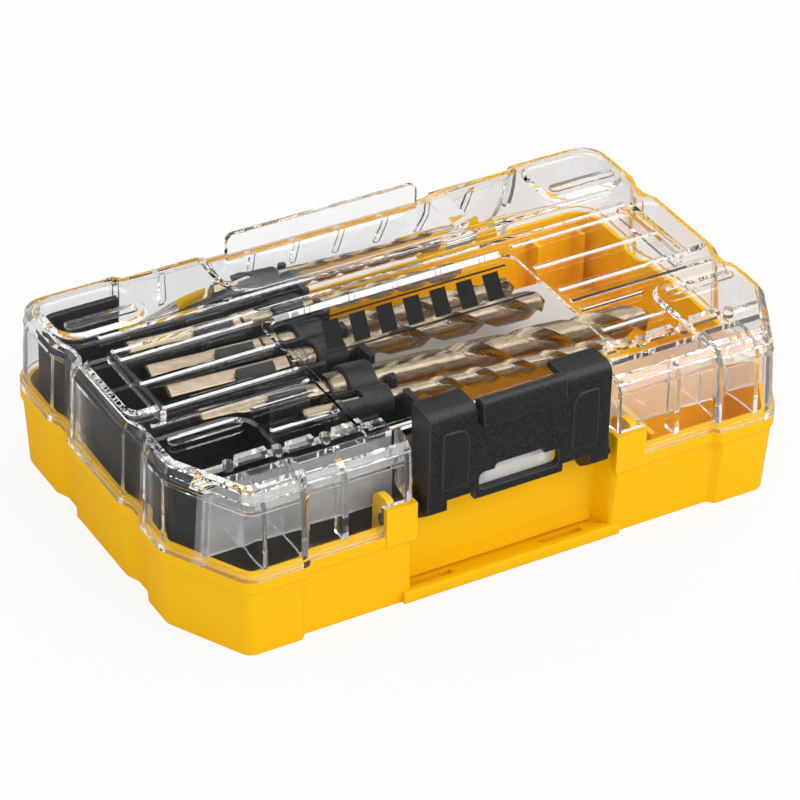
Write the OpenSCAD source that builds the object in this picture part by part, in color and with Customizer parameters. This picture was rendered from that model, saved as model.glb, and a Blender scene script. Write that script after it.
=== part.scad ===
// Drill bit case: a moulded tub with a clear hinged lid, a swing latch at the
// front and a holder with six twist drills inside. Millimetres. The origin is
// the centre of the flat bottom, +X runs along the case, +Y points to the
// hinges and +Z is up.

/* [Case] */
// Length of the tub at its foot
case_l = 185; // [165:1:225]
// Depth of the tub at its foot, front to back
case_d = 113.6; // [95:0.2:140]
// Height of the rim where tub and lid meet
rim_z = 24.7; // [21:0.1:30]
// Height of the lid's top panel
panel_z = 50; // [46:0.1:60]
// Height of the raised bead round the tub's rim
bead_h = 3.3; // [2:0.1:5]
// How far the tub's walls lean out below the bead
draft = 1.1; // [0:0.1:1.6]
// How far the bead and the lid's foot stand proud of the foot outline
rim_out = 2; // [1.5:0.1:2.6]
// Wall of the tub
tub_wall = 2; // [1.5:0.1:2.6]
// Floor of the tub
tub_floor = 2; // [1.5:0.1:2.6]
// Wall of the lid
lid_wall = 1.8; // [1.4:0.1:2.2]

/* [Outline] */
// Length of the front corner chamfer along the case
chamfer_x = 12.4; // [8:0.1:18]
// Length of the front corner chamfer along the depth
chamfer_y = 23; // [14:0.1:28]
// Radius of the back corners
back_r = 8; // [5:0.5:12]
// Width of the end blocks, from the end of the case
block_w = 27.85; // [22:0.05:34]
// How far the walls between the end blocks stand back
step_in = 1.9; // [1:0.1:2.6]
// Depth of the grooves in the short sides
groove_depth = 1.7; // [1:0.1:2]
// Middle of the front groove, from the front
front_groove_y = 40.4; // [36:0.1:48]
// Middle of the back groove, from the back
back_groove_y = 29.9; // [26:0.1:36]
// Width of a groove's floor
groove_w = 4.8; // [3:0.1:7]

/* [Latch] */
// Half the width of the latch
latch_half = 27.7; // [22:0.1:32]
// Height of the latch's wings above the lid's panel
latch_rise = 8; // [4:0.1:18]
// Thickness of the latch's front plate
latch_t = 2.4; // [1.8:0.1:3]
// Distance of the latch pivot behind the front
pivot_y = 5; // [4.6:0.1:6]
// Height of the latch pivot above the rim
pivot_rise = 2.3; // [1.3:0.1:4.3]
// Diameter of the latch's trunnions
trunnion_d = 4.1; // [3:0.1:4.6]
// Radial running clearance of trunnions and hinge pins
run_gap = 0.05; // [0.03:0.01:0.09]
// Gap between the latch's barrels and the back of its bay
bay_gap = 0.5; // [0.2:0.1:2.1]
// Height of the ledge at the foot of the bay
ledge_z = 3; // [2.5:0.1:5]

/* [Hinges] */
// Distance of each hinge's middle from the end block
hinge_inset = 16.15; // [14.65:0.05:24.65]
// Length of one hinge, over its three knuckles
hinge_l = 25; // [20:0.5:25]
// Outer diameter of the knuckles
knuckle_d = 5.6; // [5:0.1:6.4]
// Diameter of the hinge pins
pin_d = 2.5; // [2:0.1:3]

/* [Holder] */
// Length of the black holder
tray_l = 75.5; // [66:0.5:82]
// Height of the holder's side walls
tray_z = 43.5; // [38:0.5:45]
// Wall of the holder
tray_wall = 1.8; // [1.2:0.1:2.4]
// Clearance of the drills in their notches
bit_gap = 0.2; // [0.15:0.05:0.4]
// Width of the spring clips along the drills
clip_l = 11.5; // [8:0.5:14]
// Wall of the spring clips
clip_wall = 1.2; // [1:0.1:1.5]

/* [Hidden] */
$fn = 48;

amber = "#fdb813";
clear = [0.88, 0.93, 0.96, 0.4];
black = "#26272a";
bronze = "#a98f6a";
steel = "#b9bcc0";
grey_card = "#d5d6d6";

half_l = case_l / 2;
half_d = case_d / 2;
bead_z = rim_z - bead_h;
seam = 0.1;
bead_top = panel_z + 0.8;
front = -half_d;
back = half_d;
over = 1;
block_x = half_l - block_w;
hinge_x = block_x - hinge_inset;
barrel_r = 2.9;
pivot = [front + pivot_y, rim_z + pivot_rise];
latch_top = panel_z + latch_rise;
plate = [front - 0.5, front - 0.5 + latch_t];

// ---- Outline tools: an outline is a list of [x, y, corner radius], counter-clockwise ----

function unit(v) = v / norm(v);
function spot(v, i) = let(p = v[(i + len(v)) % len(v)]) [p[0], p[1]];
function edge_normal(a, b) = let(u = unit(b - a)) [u[1], -u[0]];
function bend(v, i) = cross(spot(v, i) - spot(v, i - 1), spot(v, i + 1) - spot(v, i));
function turned(v, a) = [v[0] * cos(a) - v[1] * sin(a), v[0] * sin(a) + v[1] * cos(a)];

// The outline moved outwards by g, with its corners kept in line
function grown(v, g) = [for (i = [0 : len(v) - 1])
  let(n1 = edge_normal(spot(v, i - 1), spot(v, i)),
      n2 = edge_normal(spot(v, i), spot(v, i + 1)),
      p = spot(v, i) + g * (n1 + n2) / (1 + n1 * n2))
  [p[0], p[1], max(0, v[i][2] + (bend(v, i) > 0 ? g : -g))]];

// One corner as an arc of its radius
function corner(v, i) =
  let(p = spot(v, i), r = v[i][2],
      a = unit(spot(v, i - 1) - p), b = unit(spot(v, i + 1) - p),
      half = acos(a * b) / 2, centre = p + unit(a + b) * r / sin(half),
      start = p + a * r / tan(half), sweep = sign(bend(v, i)) * (180 - 2 * half),
      steps = max(1, ceil(abs(sweep) / (r < 2.5 ? 30 : 15))))
  r < 0.05 ? [p] : [for (k = [0 : steps]) centre + turned(start - centre, sweep * k / steps)];

function rounded(v) = [for (i = [0 : len(v) - 1]) each corner(v, i)];
function flipped(v) = [for (i = [len(v) - 1 : -1 : 0]) [-v[i][0], v[i][1], v[i][2]]];
function box_outline(x0, x1, y0, y1, r) = [[x0, y0, r], [x1, y0, r], [x1, y1, r], [x0, y1, r]];

// One groove in the right-hand side, its middle at y
function groove(y) = let(floor_half = groove_w / 2, mouth = groove_w + groove_depth)
  [[half_l, y - mouth, 1.5], [half_l - groove_depth, y - floor_half, 1],
   [half_l - groove_depth, y + floor_half, 1], [half_l, y + mouth, 1.5]];

right_outline = concat(
  [[block_x - step_in, front + step_in, 0.8], [block_x, front, 1.2],
   [half_l - chamfer_x, front, 4], [half_l, front + chamfer_y, 4]],
  groove(front + front_groove_y), groove(back - back_groove_y),
  [[half_l, back, back_r], [block_x, back, 1.2], [block_x - step_in, back - step_in, 0.8]]);
case_outline = concat(right_outline, flipped(right_outline));

module prism(v, z0, z1) translate([0, 0, z0]) linear_extrude(z1 - z0) polygon(rounded(v));

// The case outline, grown by g0 at z0 and by gx and gy at z1
module drafted(z0, z1, g0, gx, gy) {
  lean = [(half_l + gx) / (half_l + g0), (half_d + gy) / (half_d + g0)];
  translate([0, 0, z0]) linear_extrude(z1 - z0, scale = lean, slices = 1, segments = 1)
    polygon(rounded(grown(case_outline, g0)));
}

// A profile in Y and Z, run along X
module along_x(x0, x1, v)
  translate([x0, 0, 0]) rotate([90, 0, 90]) linear_extrude(x1 - x0) polygon(rounded(v));

// A profile in X and Z, run along Y
module along_y(y0, y1, v)
  translate([0, y1, 0]) rotate([90, 0, 0]) linear_extrude(y1 - y0) polygon(rounded(v));

module both_sides() {
  children();
  mirror([1, 0, 0]) children();
}

module rod_x(x0, x1, y, z, d) translate([x0, y, z]) rotate([0, 90, 0]) cylinder(d = d, h = x1 - x0);

// ---- Latch bay: the recess in the front that the latch swings in ----

bay_half = latch_half + 3.3;
bay_inner = latch_half + 0.7;
bay_corner_y = front + 1.2;
bay_back_y = pivot[0] + barrel_r + bay_gap;
post_half = bay_half + 9;
post_front = front - 0.4;
post_top = rim_z + 8.3;
bay_wall_top = rim_z + 5.3;
ear_x = [bay_half + 5.5, bay_half + 7.6];
ear_top = pivot[1] + 7;

bay_mouth = 1.6;
mouth_y = front + step_in - 1.2;

bay_outline = [[-bay_half - bay_mouth, front - 6, 0], [bay_half + bay_mouth, front - 6, 0],
  [bay_half + bay_mouth, mouth_y, 0.8], [bay_half, mouth_y + 1.6, 1.6],
  [bay_inner, bay_back_y, 2.4], [-bay_inner, bay_back_y, 2.4],
  [-bay_half, mouth_y + 1.6, 1.6], [-bay_half - bay_mouth, mouth_y, 0.8]];

lid_bay_half = bay_half + 1;
lid_bay_back = bay_back_y + 2.2;
lid_bay_outline = [[-lid_bay_half, front - 6, 0], [lid_bay_half, front - 6, 0],
  [lid_bay_half, bay_corner_y, 1], [lid_bay_half - 1.5, lid_bay_back, 1.2],
  [1.5 - lid_bay_half, lid_bay_back, 1.2], [-lid_bay_half, bay_corner_y, 1]];

// The walls of a bay: everything within a wall of its outline, behind the front
module bay_walls(v, wall, front_y, z0, z1) difference() {
  prism(grown(v, wall), z0, z1);
  prism(v, z0 - over, z1 + over);
  translate([-half_l, front_y - 30, z0 - over]) cube([case_l, 30, z1 - z0 + 2 * over]);
}

// ---- Hinges ----

hinge_y = back - step_in + rim_out + 0.4 + knuckle_d / 2;
hinge_z = rim_z + 0.7;
knuckle_gap = 0.3;
lid_knuckle_l = hinge_l * 0.4;
hinge_ends = [hinge_x - hinge_l / 2, hinge_x + hinge_l / 2];
lid_knuckle = [hinge_x - lid_knuckle_l / 2, hinge_x + lid_knuckle_l / 2];

module tub_knuckle(x0, x1) {
  rod_x(x0, x1, hinge_y, hinge_z, knuckle_d);
  along_x(x0, x1, [[back - step_in - 0.6, bead_z - 7, 0], [back - step_in + draft, bead_z - 5, 0],
    [hinge_y + knuckle_d / 2 - 0.1, hinge_z - 0.4, 0], [hinge_y - 1.6, rim_z - 0.2, 0],
    [back - step_in - 0.6, rim_z - 0.2, 0]]);
}

// ---- Tub ----

spigot_h = 1.6;
spigot_wall = 1.2;
slot_size = [13.3, 3];
slot_y = bay_back_y - 3.5;
lip_half = bay_half + 2.6;
lip_z = ledge_z + 0.7;
slot_x = [7.9 - bay_half, bay_half - 13.4];
card_z = tray_z - 23.5;
wall_rib_x = [half_l - 21, half_l - 6];
divider_x = post_half + 8;
divider_y = front + 30;
divider_z = rim_z - 3.7;

module tub_outer() {
  drafted(0, bead_z, 0, draft, draft);
  prism(grown(case_outline, rim_out), bead_z, rim_z);
}

module tub_shell() difference() {
  union() {
    tub_outer();
    prism(grown(case_outline, spigot_wall - lid_wall - 0.3), bead_z, rim_z + spigot_h);
  }
  drafted(tub_floor, rim_z + spigot_h + over, -tub_wall, -lid_wall - 0.3, -lid_wall - 0.3);
  prism(bay_outline, ledge_z, rim_z + spigot_h + over);
  translate([-post_half, front - over, rim_z])
    cube([2 * post_half, step_in + tub_wall + 6, spigot_h + over]);
}

module tub_tower() {
  translate([bay_half - 0.2, post_front, bead_z])
    cube([post_half - bay_half + 0.2, 2.6, post_top - bead_z]);
  along_x(ear_x[0], ear_x[1], [[front + step_in, tub_floor, 0], [pivot[0] + 6.5, tub_floor, 0],
    [pivot[0] + 5.5, ear_top, 4], [pivot[0] - 1.4, ear_top, 1], [pivot[0] - 3, ear_top - 3, 0]]);
}

module base_tub() color(amber) difference() {
  union() {
    tub_shell();
    intersection() {
      bay_walls(bay_outline, tub_wall, post_front, 0.5, rim_z);
      tub_outer();
    }
    bay_walls(bay_outline, tub_wall, post_front, rim_z - 0.4, bay_wall_top);
    difference() {
      bay_walls(bay_outline, tub_wall, post_front, bay_wall_top - 0.5, post_top);
      translate([3.4 - bay_inner, bay_back_y - 2, bay_wall_top]) cube([2 * bay_inner - 6.8, 6, 6]);
    }
    both_sides() tub_tower();
    // rounded lip along the ledge, and the slope at the foot of the bay's back wall
    along_x(-lip_half, lip_half, [[front + 0.3, 0.2, 0.2], [front + 3, 0.2, 0],
      [front + 2.6, lip_z, 0.7], [front + 0.1, lip_z, 1]]);
    along_x(-bay_inner, bay_inner, [[bay_back_y - 1.3, ledge_z - 0.2, 0],
      [bay_back_y + 0.3, ledge_z - 0.2, 0], [bay_back_y + 0.3, ledge_z + 4, 0]]);
    both_sides() {
      tub_knuckle(hinge_ends[0], lid_knuckle[0] - knuckle_gap);
      tub_knuckle(lid_knuckle[1] + knuckle_gap, hinge_ends[1]);
    }
    // inner ribs of the open right half
    for (x = wall_rib_x)
      translate([x, back - 7, tub_floor - 0.2]) cube([1.4, 5.5, bead_z - tub_floor]);
    translate([divider_x, front + 10, tub_floor - 0.2]) cube([1.6, divider_y - front - 10, divider_z]);
    translate([divider_x, divider_y, tub_floor - 0.2]) cube([half_l - divider_x - 1.6, 1.6, divider_z]);
    // rails that the card lies on
    for (x = [card[0] + 3, card[1] - 4])
      translate([x, card[2] + 1, tub_floor - 0.2]) cube([1.4, card[3] - card[2] - 2, card_z - tub_floor]);
  }
  rod_x(-ear_x[1] - over, ear_x[1] + over, pivot[0], pivot[1], trunnion_d + 2 * run_gap);
  rod_x(-half_l, half_l, hinge_y, hinge_z, pin_d + 2 * run_gap);
  for (x = slot_x)
    translate([x - slot_size[0] / 2, slot_y - slot_size[1] / 2, -over])
      cube([slot_size[0], slot_size[1], ledge_z + 2 * over]);
}

// ---- Lid ----

lid_foot_z = rim_z + seam;
lid_foot_h = 2;
lid_shoulder_z = panel_z - 5;
lid_edge_z = panel_z - 2;
lid_under_z = panel_z - lid_wall;
notch_z = post_top + 0.3;
bead_w = 1.9;
bead_lean = 0.4;
pad_top = panel_z + 1.3;
pad_root = 0.4;
window_half = post_half + 0.4;
window_back = back - 41.2;
side_pad_x = half_l - 11.3;
side_pad_y = [back - 67.1, back - 36.1];
top_end = half_l - 1.6;
pocket_half = 40;
pocket_floor_z = panel_z - 3;
pocket_depth = 27;
pocket_slope = 5.5;
flange_half = 30.3;
flange_y = back - 6.1;
flange_z = panel_z + 5;
rib_rows = [back - 40.6, back - 53.3, back - 66.1];

module lid_outer() {
  prism(grown(case_outline, rim_out), lid_foot_z, lid_foot_z + lid_foot_h);
  drafted(lid_foot_z + lid_foot_h - 0.01, lid_shoulder_z, 1.2, 0.5, 0.3);
  drafted(lid_shoulder_z - 0.01, lid_edge_z, 0.5, 0, -0.8);
  drafted(lid_edge_z - 0.01, panel_z, 0, -1.2, -2.6);
}

module lid_inner() {
  drafted(rim_z - over, lid_shoulder_z, 1.2 - lid_wall, 0.5 - lid_wall, 0.3 - lid_wall);
  drafted(lid_shoulder_z - 0.01, lid_under_z, 0.5 - lid_wall, -lid_wall - 0.6, -lid_wall - 1.6);
}

// The pocket behind the back flange, with sloping sides
module back_pocket(wall) {
  bottom = [pocket_half - pocket_slope + wall, pocket_depth - pocket_slope + wall];
  top = [pocket_half + wall, pocket_depth + wall];
  translate([0, back, pocket_floor_z - wall])
    linear_extrude(panel_z - pocket_floor_z + wall + 0.01, slices = 1, segments = 1,
      scale = [top[0] / bottom[0], top[1] / bottom[1]])
      polygon(rounded([[bottom[0], over, 0], [-bottom[0], over, 0],
        [-bottom[0], -bottom[1], 8], [bottom[0], -bottom[1], 8]]));
}

// A flat raised shape on the panel, its sides leaning in by lean
module pad(v, top = pad_top, lean = 1.2) {
  low = [min([for (p = v) p[0]]), min([for (p = v) p[1]])];
  high = [max([for (p = v) p[0]]), max([for (p = v) p[1]])];
  mid = (low + high) / 2;
  size = high - low;
  translate([mid[0], mid[1], panel_z - pad_root])
    linear_extrude(top + pad_root - panel_z, slices = 1, segments = 1,
      scale = [1 - 2 * lean / size[0], 1 - 2 * lean / size[1]])
      polygon([for (p = rounded(v)) p - mid]);
}
module bead(x0, x1, y)
  pad(box_outline(x0, x1, y - bead_w / 2, y + bead_w / 2, 0.6), bead_top, bead_lean);

// A raised end pad with a long slot sunk into it
module slotted_pad(v, slot_y) difference() {
  pad(v);
  prism(box_outline(half_l - 26.8, half_l - 5.3, slot_y, slot_y + 3.6, 1.6), panel_z, pad_top + over);
}

module end_pads() {
  pad([[side_pad_x, side_pad_y[0], 0.8], [top_end, side_pad_y[0], 4],
    [top_end, side_pad_y[1], 4], [side_pad_x, side_pad_y[1], 0.8]]);
  slotted_pad(box_outline(half_l - 30, top_end, back - 27, back - 4.4, 7), back - 22.6);
  slotted_pad([[half_l - 31.4, front + 3.2, 1.2], [half_l - chamfer_x - 1, front + 3.2, 2],
    [top_end, front + chamfer_y + 1, 2], [top_end, front + 37.6, 1.2],
    [half_l - 31.4, front + 37.6, 8]], front + 29.5);
}

module lid_ribs() {
  for (y = rib_rows) bead(window_half, side_pad_x, y);
  bead(window_half, half_l - 5, front + 41.3);
  bead(window_half, half_l - 31.4, front + 36);
  bead(window_half, half_l - 31.4, front + 25);
}

// The frame round the window: a bead at the sides and a wide slope at the back
module window_frame() {
  slope_y = window_back - 2.8;
  outer = [[-window_half, lid_bay_back, 0], [window_half, lid_bay_back, 0],
    [window_half, window_back, 5], [-window_half, window_back, 5]];
  difference() {
    pad(outer, bead_top, bead_lean);
    prism([[bead_w - window_half, lid_bay_back + bead_w, 0], [window_half - bead_w, lid_bay_back + bead_w, 0],
      [window_half - bead_w, slope_y, 3.5], [bead_w - window_half, slope_y, 3.5]],
      panel_z - over, bead_top + over);
    along_x(bead_w - window_half + 3, window_half - bead_w - 3, [[slope_y - 1, panel_z - over, 0],
      [slope_y, panel_z - 0.15, 0], [window_back - 0.9, bead_top + 0.05, 0],
      [slope_y - 1, bead_top + 0.05, 0]]);
  }
}

// The bar that the latch snaps over, on two arms from the lid's bay wall
bar_half = 11.6;
bar_z = [rim_z + 5.5, rim_z + 9.9];

module catch_bar() {
  bar = [plate[1] + 0.2, plate[1] + 2.4];
  along_x(-bar_half, bar_half, [[bar[0], bar_z[0], 0.4], [bar[1], bar_z[0], 0.4],
    [bar[1], bar_z[1], 0.8], [bar[0], bar_z[1], 0.8]]);
  for (x = [1.5 - bar_half, bar_half - 3.5])
    translate([x, bar[0] + 1, bar_z[0] + 0.3]) cube([2, lid_bay_back - bar[0], bar_z[1] - bar_z[0] - 0.8]);
}

// A second wall inside the lid's front, with fins to the front wall. At the panel it has
// a rail behind it, stepped by lugs, with a round boss between each pair of lugs.
inner_wall_y = lid_bay_back + 1.4;
inner_wall_t = 1.4;
inner_foot_z = rim_z + spigot_h + 0.5;
rail_y = inner_wall_y + inner_wall_t;
rail_w = 4.4;
rail_h = 2.6;
lug_w = 2.2;
lug_h = 3.6;
lugs = [for (v = [[6, 13.7], [19.8, 27.3], [33.5, 42.2]]) [lid_bay_half + v[0], lid_bay_half + v[1]]];
boss_x = [for (x = [16.6, 30.6, 45]) lid_bay_half + x];
boss_d = 3;
fin_t = 1.3;
fin_x = [half_l - 28.8, half_l - 17.6];
back_fin_x = [6.4, 20.6, 34.8, 49.4, 63];
back_fin_z = rim_z + 10.7;
roof = lid_under_z + 0.3;

// A block hanging from the panel, or from the pocket's floor
module hanging(x0, x1, y0, y1, z, top = roof) translate([x0, y0, z]) cube([x1 - x0, y1 - y0, top - z]);

module lid_inside() intersection() {
  lid_outer();
  union() {
    hanging(lid_bay_half, half_l, inner_wall_y, inner_wall_y + inner_wall_t, inner_foot_z);
    hanging(lid_bay_half, half_l, rail_y - 0.1, rail_y + rail_w, lid_under_z - rail_h);
    for (v = lugs) hanging(v[0], v[1], rail_y + rail_w - 0.1, rail_y + rail_w + lug_w, lid_under_z - lug_h);
    for (x = boss_x) translate([x, rail_y + rail_w, lid_under_z - lug_h])
      cylinder(d = boss_d, h = lug_h + 0.3);
    for (x = fin_x) hanging(x, x + fin_t, front, inner_wall_y + 0.2, inner_foot_z);
    // short rib on the front wall, midway
    hanging(lid_bay_half + 18.2, lid_bay_half + 20, front, front + step_in + lid_wall + 3, inner_foot_z);
    for (x = back_fin_x) hanging(x, x + 1.6, back - 4.4, back, back_fin_z,
      x < pocket_half ? pocket_floor_z - 0.8 : roof);
    // ribs under the side pads
    hanging(side_pad_x - 1.6, side_pad_x + 0.2, side_pad_y[0] + 1, side_pad_y[1] + 1.3, tray_z + 1);
  }
}

module lid_knuckles() {
  rod_x(lid_knuckle[0], lid_knuckle[1], hinge_y, hinge_z, knuckle_d);
  along_x(lid_knuckle[0], lid_knuckle[1], [[back - step_in - 0.4, lid_foot_z + 0.1, 0],
    [hinge_y - 1, lid_foot_z + 0.1, 0], [hinge_y + 0.5, hinge_z + knuckle_d / 2, 0],
    [back - step_in - 0.4, hinge_z + knuckle_d / 2 + 1.6, 0]]);
}

module lid() color(clear) difference() {
  union() {
    difference() {
      lid_outer();
      difference() {
        lid_inner();
        back_pocket(lid_wall);
      }
      back_pocket(0);
      prism(lid_bay_outline, rim_z - over, pad_top + over);
      translate([-post_half - 0.3, front - 6, rim_z - over])
        cube([2 * post_half + 0.6, 6 + step_in + lid_wall + 0.4, notch_z - rim_z + over]);
    }
    bay_walls(lid_bay_outline, 1.6, front + 2.4, notch_z, panel_z - 1);
    translate([-lid_bay_half + 3, lid_bay_back, bay_wall_top + 0.4])
      cube([2 * lid_bay_half - 6, 1.6, notch_z - bay_wall_top + 0.6]);
    catch_bar();
    both_sides() {
      end_pads();
      lid_ribs();
      lid_inside();
      lid_knuckles();
    }
    for (y = [back - 36.3, back - 28.5]) bead(-side_pad_x, side_pad_x, y);
    window_frame();
    along_y(flange_y, flange_y + 1.8, [[-flange_half, pocket_floor_z - 0.5, 0],
      [flange_half, pocket_floor_z - 0.5, 0], [flange_half, flange_z, 2], [-flange_half, flange_z, 2]]);
  }
  rod_x(-half_l, half_l, hinge_y, hinge_z, pin_d + 2 * run_gap);
}

// ---- Latch ----

tongue_half = 12.7;
wing_in = tongue_half + 0.8;
wing_back = lid_bay_back - 1.1;
foot_x = [latch_half - 5.7, latch_half + 0.2];
wing_z = pivot[1] + 3.5;
plate_top = latch_top - 6;
catch_z = [bar_z[0] + 0.4, bar_z[1] + 1.6];
tongue_top = latch_top + 2;

module latch_side() {
  // wing with its top plate
  along_x(wing_in, latch_half, [[plate[0], wing_z, 0.4], [plate[1], wing_z, 0.3],
    [plate[1], latch_top - latch_t, 1.2], [wing_back, latch_top - latch_t, 0.3],
    [wing_back, latch_top, 0.8], [plate[0], latch_top, 3]]);
  // cheek
  along_x(latch_half - 2, latch_half, [[plate[0], wing_z - 1.5, 0], [pivot[0] - 2.4, pivot[1] - 1, 0],
    [pivot[0] + 2.5, pivot[1] + 1.3, 0], [pivot[0] + 3.4, pivot[1] + 13, 2],
    [wing_back, latch_top - 2, 0.3], [wing_back, latch_top, 0.8], [plate[0], latch_top, 3]]);
  // foot, barrel and trunnion
  along_x(foot_x[0], foot_x[1], [[plate[0], pivot[1] + 0.5, 0.6], [pivot[0] - 1.8, pivot[1] - 2.2, 0],
    [pivot[0] + 1, pivot[1] + 2.6, 0], [plate[1], wing_z + 3.5, 0], [plate[0], wing_z + 3.5, 0]]);
  rod_x(foot_x[0], foot_x[1], pivot[0], pivot[1], 2 * barrel_r);
  rod_x(foot_x[1] - 1, ear_x[1] + 0.4, pivot[0], pivot[1], trunnion_d);
  // raised side panel
  side_x = [wing_in + 2.5, latch_half - 3.9];
  along_y(plate[0] - 0.5, plate[0] + 0.3, [[side_x[0], wing_z + 3.9, 1], [side_x[1], wing_z + 3.9, 1],
    [side_x[1], plate_top, 1], [side_x[0], plate_top, min(3.5, 0.45 * (side_x[1] - side_x[0]))]]);
}

module latch() color(black) {
  difference() {
    along_x(-wing_in, wing_in, [[plate[0], pivot[1] + 1, 0.5], [plate[1], pivot[1] + 1, 0.3],
      [plate[1], plate_top, 0.3], [plate[0], plate_top, 0.3]]);
    along_y(plate[0] - over, plate[1] + over, box_outline(-12.4, 12.4, catch_z[0], catch_z[1], 1.6));
    along_y(plate[0] - over, plate[1] + over, box_outline(-7.6, 7.6, catch_z[0] + 3, catch_z[1] + 1.6, 1.2));
  }
  along_x(-tongue_half, tongue_half, [[plate[0] - 2.2, plate_top + 0.2, 1], [plate[0], plate_top - 1.5, 0],
    [plate[1], plate_top - 1.5, 0.4],
    [plate[1] + 0.6, tongue_top - 1.5, 1.4], [plate[0] - 1.2, tongue_top, 1.6]]);
  both_sides() latch_side();
}

// ---- Hinge pins ----

module hinge_pin(side) color(steel)
  scale([side, 1, 1]) rod_x(hinge_ends[0] + 0.3, hinge_ends[1] - 0.3, hinge_y, hinge_z, pin_d);
module hinge_pin_left() hinge_pin(-1);
module hinge_pin_right() hinge_pin(1);

// ---- Drills: [x, y and z of the shank's end, diameter, length, shank length, shank flats, tilt] ----

end_x = -half_l;
axis_h = tray_z - 7.5;
drills = [
  [end_x + 53.9, back - 8.9, axis_h, 4, 76, 24, 5, 1.5],
  [end_x + 22.9, back - 20.9, axis_h, 4.8, 107, 40, 6.4, 2.2],
  [end_x + 22.7, back - 33.5, axis_h, 6.4, 117, 40, 6.4, 3],
  [end_x + 23.1, back - 44.7, axis_h, 8, 120, 42, 6.4, 2.6],
  [end_x + 24.4, back - 60.6, axis_h + 1, 9.5, 144, 44, 6.4, 4],
  [end_x + 50.5, back - 71, axis_h, 5.5, 101, 27, 5, 4]];
collar_l = 5;

// Two-fluted cross-section of a twist drill
flute_points = 12;
function flute_section(d) = [for (k = [0 : flute_points - 1])
  let(a = 360 * k / flute_points, r = d / 2 * (0.69 + 0.31 * cos(2 * a))) [r * cos(a), r * sin(a)]];

module twist_drill(d, total, shank, flats) {
  flute = total - shank;
  turn = 360 * flute / (3.4 * d);
  tip = d * 0.45;
  cylinder(d = flats / cos(30), h = shank - collar_l, $fn = 6);
  translate([0, 0, shank - collar_l - 0.01]) cylinder(d = max(flats, d) + 0.6, h = collar_l);
  translate([0, 0, shank - 0.02]) {
    linear_extrude(flute - tip, twist = -turn, slices = ceil(turn / 27), segments = 1)
      polygon(flute_section(d));
    rotate([0, 0, turn]) translate([0, 0, flute - tip - 0.01])
      linear_extrude(tip, twist = -30, scale = 0.12, slices = 2, segments = 1) polygon(flute_section(d));
  }
}

// Puts what is drawn along Z from the origin onto drill k's axis
module on_drill(k) {
  s = drills[k];
  translate([s[0], s[1], s[2]]) rotate([0, 90 + s[7], 0]) children();
}

module drill_bit(k) color(bronze) on_drill(k)
  twist_drill(drills[k][3], drills[k][4], drills[k][5], drills[k][6]);
module drill_bit_1() drill_bit(0);
module drill_bit_2() drill_bit(1);
module drill_bit_3() drill_bit(2);
module drill_bit_4() drill_bit(3);
module drill_bit_5() drill_bit(4);
module drill_bit_6() drill_bit(5);

// ---- Spring clips: black sleeves, open at the top, on the shanks ----

clip_at = [8, 20, 20, 20, 20, 8];
function clip_bore(k) = drills[k][6] / cos(30) + 2 * bit_gap;
function clip_d(k) = clip_bore(k) + 2 * clip_wall;

module shank_clip(k) color(black) on_drill(k) translate([0, 0, clip_at[k]]) difference() {
  cylinder(d = clip_d(k), h = clip_l);
  translate([0, 0, -over]) cylinder(d = clip_bore(k), h = clip_l + 2 * over);
  translate([-10, -2, -over]) cube([10, 4, clip_l + 2 * over]);
}
module shank_clip_1() shank_clip(0);
module shank_clip_2() shank_clip(1);
module shank_clip_3() shank_clip(2);
module shank_clip_4() shank_clip(3);
module shank_clip_5() shank_clip(4);
module shank_clip_6() shank_clip(5);

// ---- Holder ----

tray_x = [-half_l + 4.2, -half_l + 4.2 + tray_l];
tray_y = [rail_y + 1.2, back - 4.6];
tray_floor_z = tub_floor + 0.3;
divider_top = tray_z - 5.5;
rack_t = 1.8;

// Height of drill k's axis at x
function axis_z(k, x) = drills[k][2] - (x - drills[k][0]) * tan(drills[k][7]);

// Notch along drill k's axis from x0 to x1, open at the top, for a round of diameter d
module notch(k, x0, x1, d) on_drill(k) translate([0, 0, x0 - drills[k][0]]) {
  cylinder(d = d, h = x1 - x0);
  translate([-40, -d / 2, 0]) cube([40, d, x1 - x0]);
}

tray_outline = [[tray_x[0] + chamfer_x - 6.4, tray_y[0], 1], [tray_x[1], tray_y[0], 0],
  [tray_x[1], tray_y[1], 0], [tray_x[0], tray_y[1], 5], [tray_x[0], tray_y[0] + chamfer_y - 12, 1]];

module tray_wall_box(x0, x1, y0, y1, z1) translate([x0, y0, tray_floor_z])
  cube([x1 - x0, y1 - y0, z1 - tray_floor_z]);

// Block under a clip, as wide as the clip
module saddle(k) {
  x0 = drills[k][0] + clip_at[k];
  y = drills[k][1];
  r = clip_d(k) / 2 + 1;
  tray_wall_box(x0 - 1, x0 + clip_l + 1, y - r, min(y + r, tray_y[1]), axis_z(k, x0 + clip_l) - 1);
}

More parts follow.
